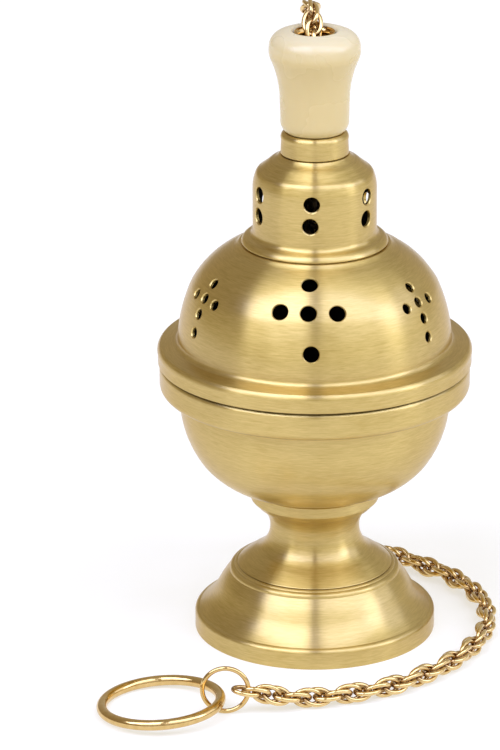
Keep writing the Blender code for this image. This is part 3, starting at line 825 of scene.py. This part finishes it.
def make_foot():
    """The base, and the stem that stands in its collar with a fine line between them."""
    outer = outline(
        (FOOT_R, 0.0), (FOOT_R, 6.2), (44.9, 8.0, 0.45), (37.3, 17.4, -0.7), (33.1, 23.5, 0.2),
        (31.6, 25.4, 0.45), (31.1, 25.8, -0.15), (30.6, STEM_Z), (SPIGOT_R + GAP, STEM_Z),
    )
    inner = outline(
        (SPIGOT_R + GAP, 24.3), (31.6, 22.9), (36.0, 16.6), (43.9, 6.9, 0.6), (44.9, 5.6), (44.9, 0.0),
    )
    add_turned("foot_base_spun", "satin_brass", "root", "foot_base", outer + inner)
    outer = outline(
        (SPIGOT_R - WALL, 23.4), (SPIGOT_R, 23.4), (SPIGOT_R, STEM_Z + STEM_GAP), (30.15, STEM_Z + STEM_GAP),
        (23.6, 30.8, 0.15), (NECK_R, 41.8, -1.8), (22.3, 50.6, -1.3), (24.2, 52.7), (24.8, 53.7, 0.2),
        (24.8, FOOT_TOP_Z - 0.35), (24.3, FOOT_TOP_Z), (BOLT_R + GAP, FOOT_TOP_Z),
    )
    inner = outline(
        (BOLT_R + GAP, 56.1), (22.9, 56.1), (22.8, 53.9), (15.9, 41.6, 1.2), (22.7, 29.5, 1.7),
        (SPIGOT_R - WALL, 25.9),
    )
    add_turned("foot_stem_spun", "satin_brass", "root", "foot_stem", outer + inner, ease=0.25)


def make_bowl():
    """The bowl, its straight rim standing up inside the lid, with a rivet hole either side."""
    outer = outline(
        (BOLT_R + GAP, FOOT_TOP_Z + GAP), (24.2, FOOT_TOP_Z + GAP), (25.0, FOOT_TOP_Z + 0.75), (44.0, 70.0, 1.95),
        (BOWL_R, 97.5, 2.5), (BOWL_R, 113.0),
    )
    inner = outline(
        (BOWL_R - WALL, 113.0), (BOWL_R - WALL, 97.5), (42.8, 70.9, -2.4), (24.4, 59.2, -1.9), (BOLT_R + GAP, 59.2),
    )
    holes = bmesh.new()
    add_rivet_plugs(holes, BOWL_R)
    add_turned("bowl_spun", "satin_brass", "root", "bowl", outer, inner, holes)


def make_rim_band():
    """The band round the bowl that the lid comes down on."""
    inner_r = BOWL_R + GAP
    top_z = SEAM_Z - GAP - 0.1
    band = outline(
        (inner_r, BAND_FOOT_Z + 0.3), (57.0, BAND_FOOT_Z + 0.3), (57.6, BAND_FOOT_Z), (59.6, 101.2, 0.6),
        (59.6, 107.0), (58.0, top_z, 0.42), (inner_r, top_z),
    )
    add_turned("rim_band_spun", "satin_brass", "root", "rim_band", band, ease=0.25)


# The dome's own flank begins at its foot, above the rolled shoulder that carries the seam.
DOME_FOOT_Z = 118.0
DOME_OUTER = outline(
    (SEAM_R - 0.3, SEAM_Z), (SEAM_R, SEAM_Z + 0.3), (SEAM_R, 113.0), (59.2, 116.5, 0.6), (54.2, 117.4),
    (52.5, 120.0, -0.6), (47.2, 140.5, 0.95), (30.4, 155.8, 1.8), (28.9, 157.2),
)


def dome_surface(z):
    """Radius of the lid's dome at a height, and the tilt of its normal above the horizontal."""
    for low, high in zip(DOME_OUTER, DOME_OUTER[1:]):
        if low.y <= z <= high.y and low.y > DOME_FOOT_Z:
            share = (z - low.y) / (high.y - low.y)
            return low.x + share * (high.x - low.x), math.atan2(low.x - high.x, high.y - low.y)
    raise ValueError(f"the dome has no surface at {z}")


def make_lid_dome():
    """The lid's dome, with a cross of five large vents and a cluster of six small ones by turns."""
    inner = outline(
        (22.0, 156.0), (29.6, 155.2), (46.0, 140.0, -1.75), (51.2, 120.6, -0.95), (51.2, 119.4), (53.2, 116.9),
        (58.7, 114.2, -0.7), (58.7, 110.6), (BOWL_R + 0.4, 110.6), (BOWL_R + 0.4, SEAM_Z),
    )
    outer = DOME_OUTER + [Vector((22.0, 157.2))]
    vents = bmesh.new()
    for group in range(6):
        azimuth = FIRST_AZIMUTH + 60 * group
        if group % 2 == 0:
            cluster = [(0, 152.2), (0, 143.8), (1.5, 129.6), (13.9, 143.6), (-13.8, 143.8)]
            radius = BIG_HOLE_R
        else:
            cluster = [(0, z) for z in (146.7, 141.5, 135.6, 128.5)] + [(9.2, 141.0), (-9.2, 141.0)]
            radius = SMALL_HOLE_R
        for turn, z in cluster:
            surface_r, tilt = dome_surface(z)
            normal = around(azimuth + turn, math.cos(tilt), math.sin(tilt))
            add_plug(vents, around(azimuth + turn, surface_r, z), normal, radius - HOLE_UNDERSIZE, HOLE_EDGE)
    add_turned("lid_dome_spun", "satin_brass", "lid", "lid_dome", outer, inner, vents, longest=1.5)


def make_cupola():
    """The drum on top of the dome, with two rows of large vents."""
    outer = outline(
        (22.3, CUPOLA_Z), (27.5, CUPOLA_Z - 0.2), (28.1, CUPOLA_Z + 0.1), (25.2, 160.2, 0.6), (CUPOLA_R, 162.4, -0.4),
        (CUPOLA_R, 178.4), (22.6, 184.4, 0.3), (20.6, 186.7, 0.35), (16.6, 190.0), (13.3, 192.3, -0.35),
        (LINER_R + GAP, 192.3),
    )
    inner = outline(
        (LINER_R + GAP, 191.1), (12.5, 191.0), (15.6, 188.8), (19.6, 185.5), (22.3, 178.4, -0.8),
        (22.3, CUPOLA_Z + 0.4),
    )
    vents = bmesh.new()
    for group in range(6):
        for z, turn in CUPOLA_HOLES:
            azimuth = FIRST_AZIMUTH + 60 * group + turn
            normal = around(azimuth, 1, 0)
            add_plug(vents, around(azimuth, CUPOLA_R, z), normal, BIG_HOLE_R - HOLE_UNDERSIZE, HOLE_EDGE)
    add_turned("cupola_spun", "satin_brass", "lid", "cupola", outer, inner, vents, longest=1.5)


def make_knob():
    """The collar on the cupola, the grip, and the brass liner that the chain runs up through."""
    collar = outline(
        (LINER_R + GAP, COLLAR_Z), (13.0, COLLAR_Z), (12.75, 198.0), (11.6, 201.0, 0.65), (LINER_R + GAP, 201.0),
    )
    add_turned("knob_collar_spun", "satin_brass", "lid", "knob_collar", collar, steps=128)
    grip = outline(
        (LINER_R + GAP, KNOB_Z), (11.2, KNOB_Z), (13.0, 205.8, 0.6), (13.25, 214.5), (16.7, 229.5, -0.75),
        (17.3, 233.8, 0.3), (13.2, 239.6, 1.2), (9.6, KNOB_TOP_Z, 0.12), (8.4, 240.0, 0.15), (LINER_R + GAP, 238.3),
    )
    add_turned("knob_grip", "ivory_plastic", "lid", "knob", grip, steps=128)
    liner = outline(
        (LINER_BORE_R, 184.0), (LINER_R, 184.0), (LINER_R, 238.3), (7.85, 239.8), (7.5, 240.1), (LINER_BORE_R, 237.8),
    )
    add_turned("knob_liner_tube", "polished_brass", "lid", "knob_liner", liner, steps=96, ease=0.1)


# ---------------------------------------------------------------- fittings inside and under

def hexagon_nut(name, across_flats, bore_r, low_z, high_z, finish, body, node):
    """A hexagon nut with chamfered corners and a plain bore."""
    corner_r = across_flats / math.sqrt(3)
    chamfer = corner_r - across_flats / 2
    blank = outline(
        (bore_r, low_z), (across_flats / 2, low_z), (corner_r, low_z + chamfer * 0.6),
        (corner_r, high_z - chamfer * 0.6), (across_flats / 2, high_z), (bore_r, high_z),
    )
    nut = add_piece(name, turned(name, blank, steps=72, ease=0.05), finish, body, node)
    hexagon = bmesh.new()
    middle = Matrix.Translation((0, 0, (low_z + high_z) / 2 * MM))
    bmesh.ops.create_cone(hexagon, cap_ends=True, segments=6, radius1=corner_r * MM, radius2=corner_r * MM,
                          depth=2 * (high_z - low_z) * MM, matrix=middle)
    cut(nut, hexagon, "INTERSECT")


def make_fasteners():
    """The bolt, washer and nut that hold the bowl on its foot, and the nut in the cupola that holds the knob's
    liner."""
    thread = []
    z = 46.9
    while z < 49.3:
        thread += [(BOLT_R - 0.35, z), (BOLT_R, z + 0.25)]
        z += 0.5
    bolt = outline((0, 46.5), (BOLT_R - 0.5, 46.5), *thread, (BOLT_R, 59.5), (5.6, 59.5), (5.4, 60.8), (0, 62.1, 0.4))
    add_piece("foot_bolt_turned", turned("foot_bolt_turned", bolt, steps=48, ease=0.1), "steel", "root", "foot_bolt")
    washer = outline((BOLT_R + GAP, 54.8), (8.0, 54.8), (8.0, 55.8), (BOLT_R + GAP, 55.8))
    add_piece("bolt_washer_ring", turned("bolt_washer_ring", washer, steps=64, ease=0.15), "steel", "root",
              "bolt_washer")
    hexagon_nut("foot_nut_hexagon", 10.0, BOLT_R + GAP, 49.5, 54.5, "steel", "root", "foot_nut")
    hexagon_nut("liner_nut_hexagon", 17.0, LINER_R + GAP, 186.4, 190.7, "satin_brass", "lid", "liner_nut")


def make_coal_pan():
    """The loose pan in the bowl."""
    pan = outline(
        (0, 62.7), (32.4, 62.7), (34.4, 64.4, 0.4), (39.4, 75.2), (42.3, 76.4, -0.2), (42.3, 77.4), (38.8, 76.9),
        (33.3, 64.9), (31.8, 63.9, -0.2), (0, 63.9),
    )
    add_turned("coal_pan_pressed", "steel", "coal_pan", "coal_pan", pan, steps=128, ease=0.2)


def make_bail():
    """A strap arched over the bowl: two straight feet and half an ellipse between them, and its two rivets."""
    reach = STRAP_X - STRAP_T / 2
    rise = CROWN_Z - STRAP_T / 2 - STRAP_BEND_Z
    arch_steps = 72
    foot = (STRAP_FOOT_Z, STRAP_FOOT_Z + 4, STRAP_BEND_Z - 3)
    middle = [(reach, z) for z in foot]
    for k in range(arch_steps + 1):
        angle = math.pi * k / arch_steps
        middle.append((reach * math.cos(angle), STRAP_BEND_Z + rise * math.sin(angle)))
    middle += [(-reach, z) for z in foot[::-1]]
    ease = 0.3
    deep, wide = STRAP_T / 2, STRAP_HALF_WIDTH
    quarter = [(deep, wide - ease), (deep - ease, wide)]
    section = quarter + [(-d, w) for d, w in quarter[::-1]]
    section += [(-d, -w) for d, w in section]
    bm = bmesh.new()
    rings = []
    for k, (x, z) in enumerate(middle):
        before, after = middle[max(k - 1, 0)], middle[min(k + 1, len(middle) - 1)]
        run = Vector((after[0] - before[0], 0, after[1] - before[1])).normalized()
        out = Vector((run.z, 0, -run.x))
        rings.append([bm.verts.new((Vector((x, w, z)) + out * d) * MM) for d, w in section])
    stitch_rod(bm, rings)
    bmesh.ops.recalc_face_normals(bm, faces=bm.faces)
    bail = add_piece("bail_strap", mesh_from("bail_strap", bm, 30), "satin_brass", "root", "bail")
    holes = bmesh.new()
    add_rivet_plugs(holes, STRAP_X)
    add_plug(holes, (0, 0, CROWN_Z), UP, PIN_R + GAP, 0.2, PIN_HOLE_SIDES)
    cut(bail, holes)
    inner = STRAP_X - STRAP_T - GAP
    head = outline((0, -1.7), (2.9, 0, 0.6), (RIVET_R, 0), (RIVET_R, BOWL_R - inner), (0, BOWL_R - inner))
    for side, node in ((-1, "bail_rivet_left"), (1, "bail_rivet_right")):
        mesh = turned(node + "_head", head, steps=40, ease=0.15)
        mesh.transform(Matrix.Translation(Vector((side * inner, 0, RIVET_Z)) * MM)
                       @ Matrix.Rotation(side * math.pi / 2, 4, "Y"))
        add_piece(node + "_head", mesh, "polished_brass", "root", node)


bpy.context.scene.view_settings.view_transform = "Standard"
add_camera()
chain, chain_path = make_outer_chain()
rings = make_rings()
make_inner_chain()
make_foot()
make_bowl()
make_rim_band()
make_lid_dome()
make_cupola()
make_knob()
make_fasteners()
make_coal_pan()
make_bail()
add_lights()
add_surround()
add_floor()
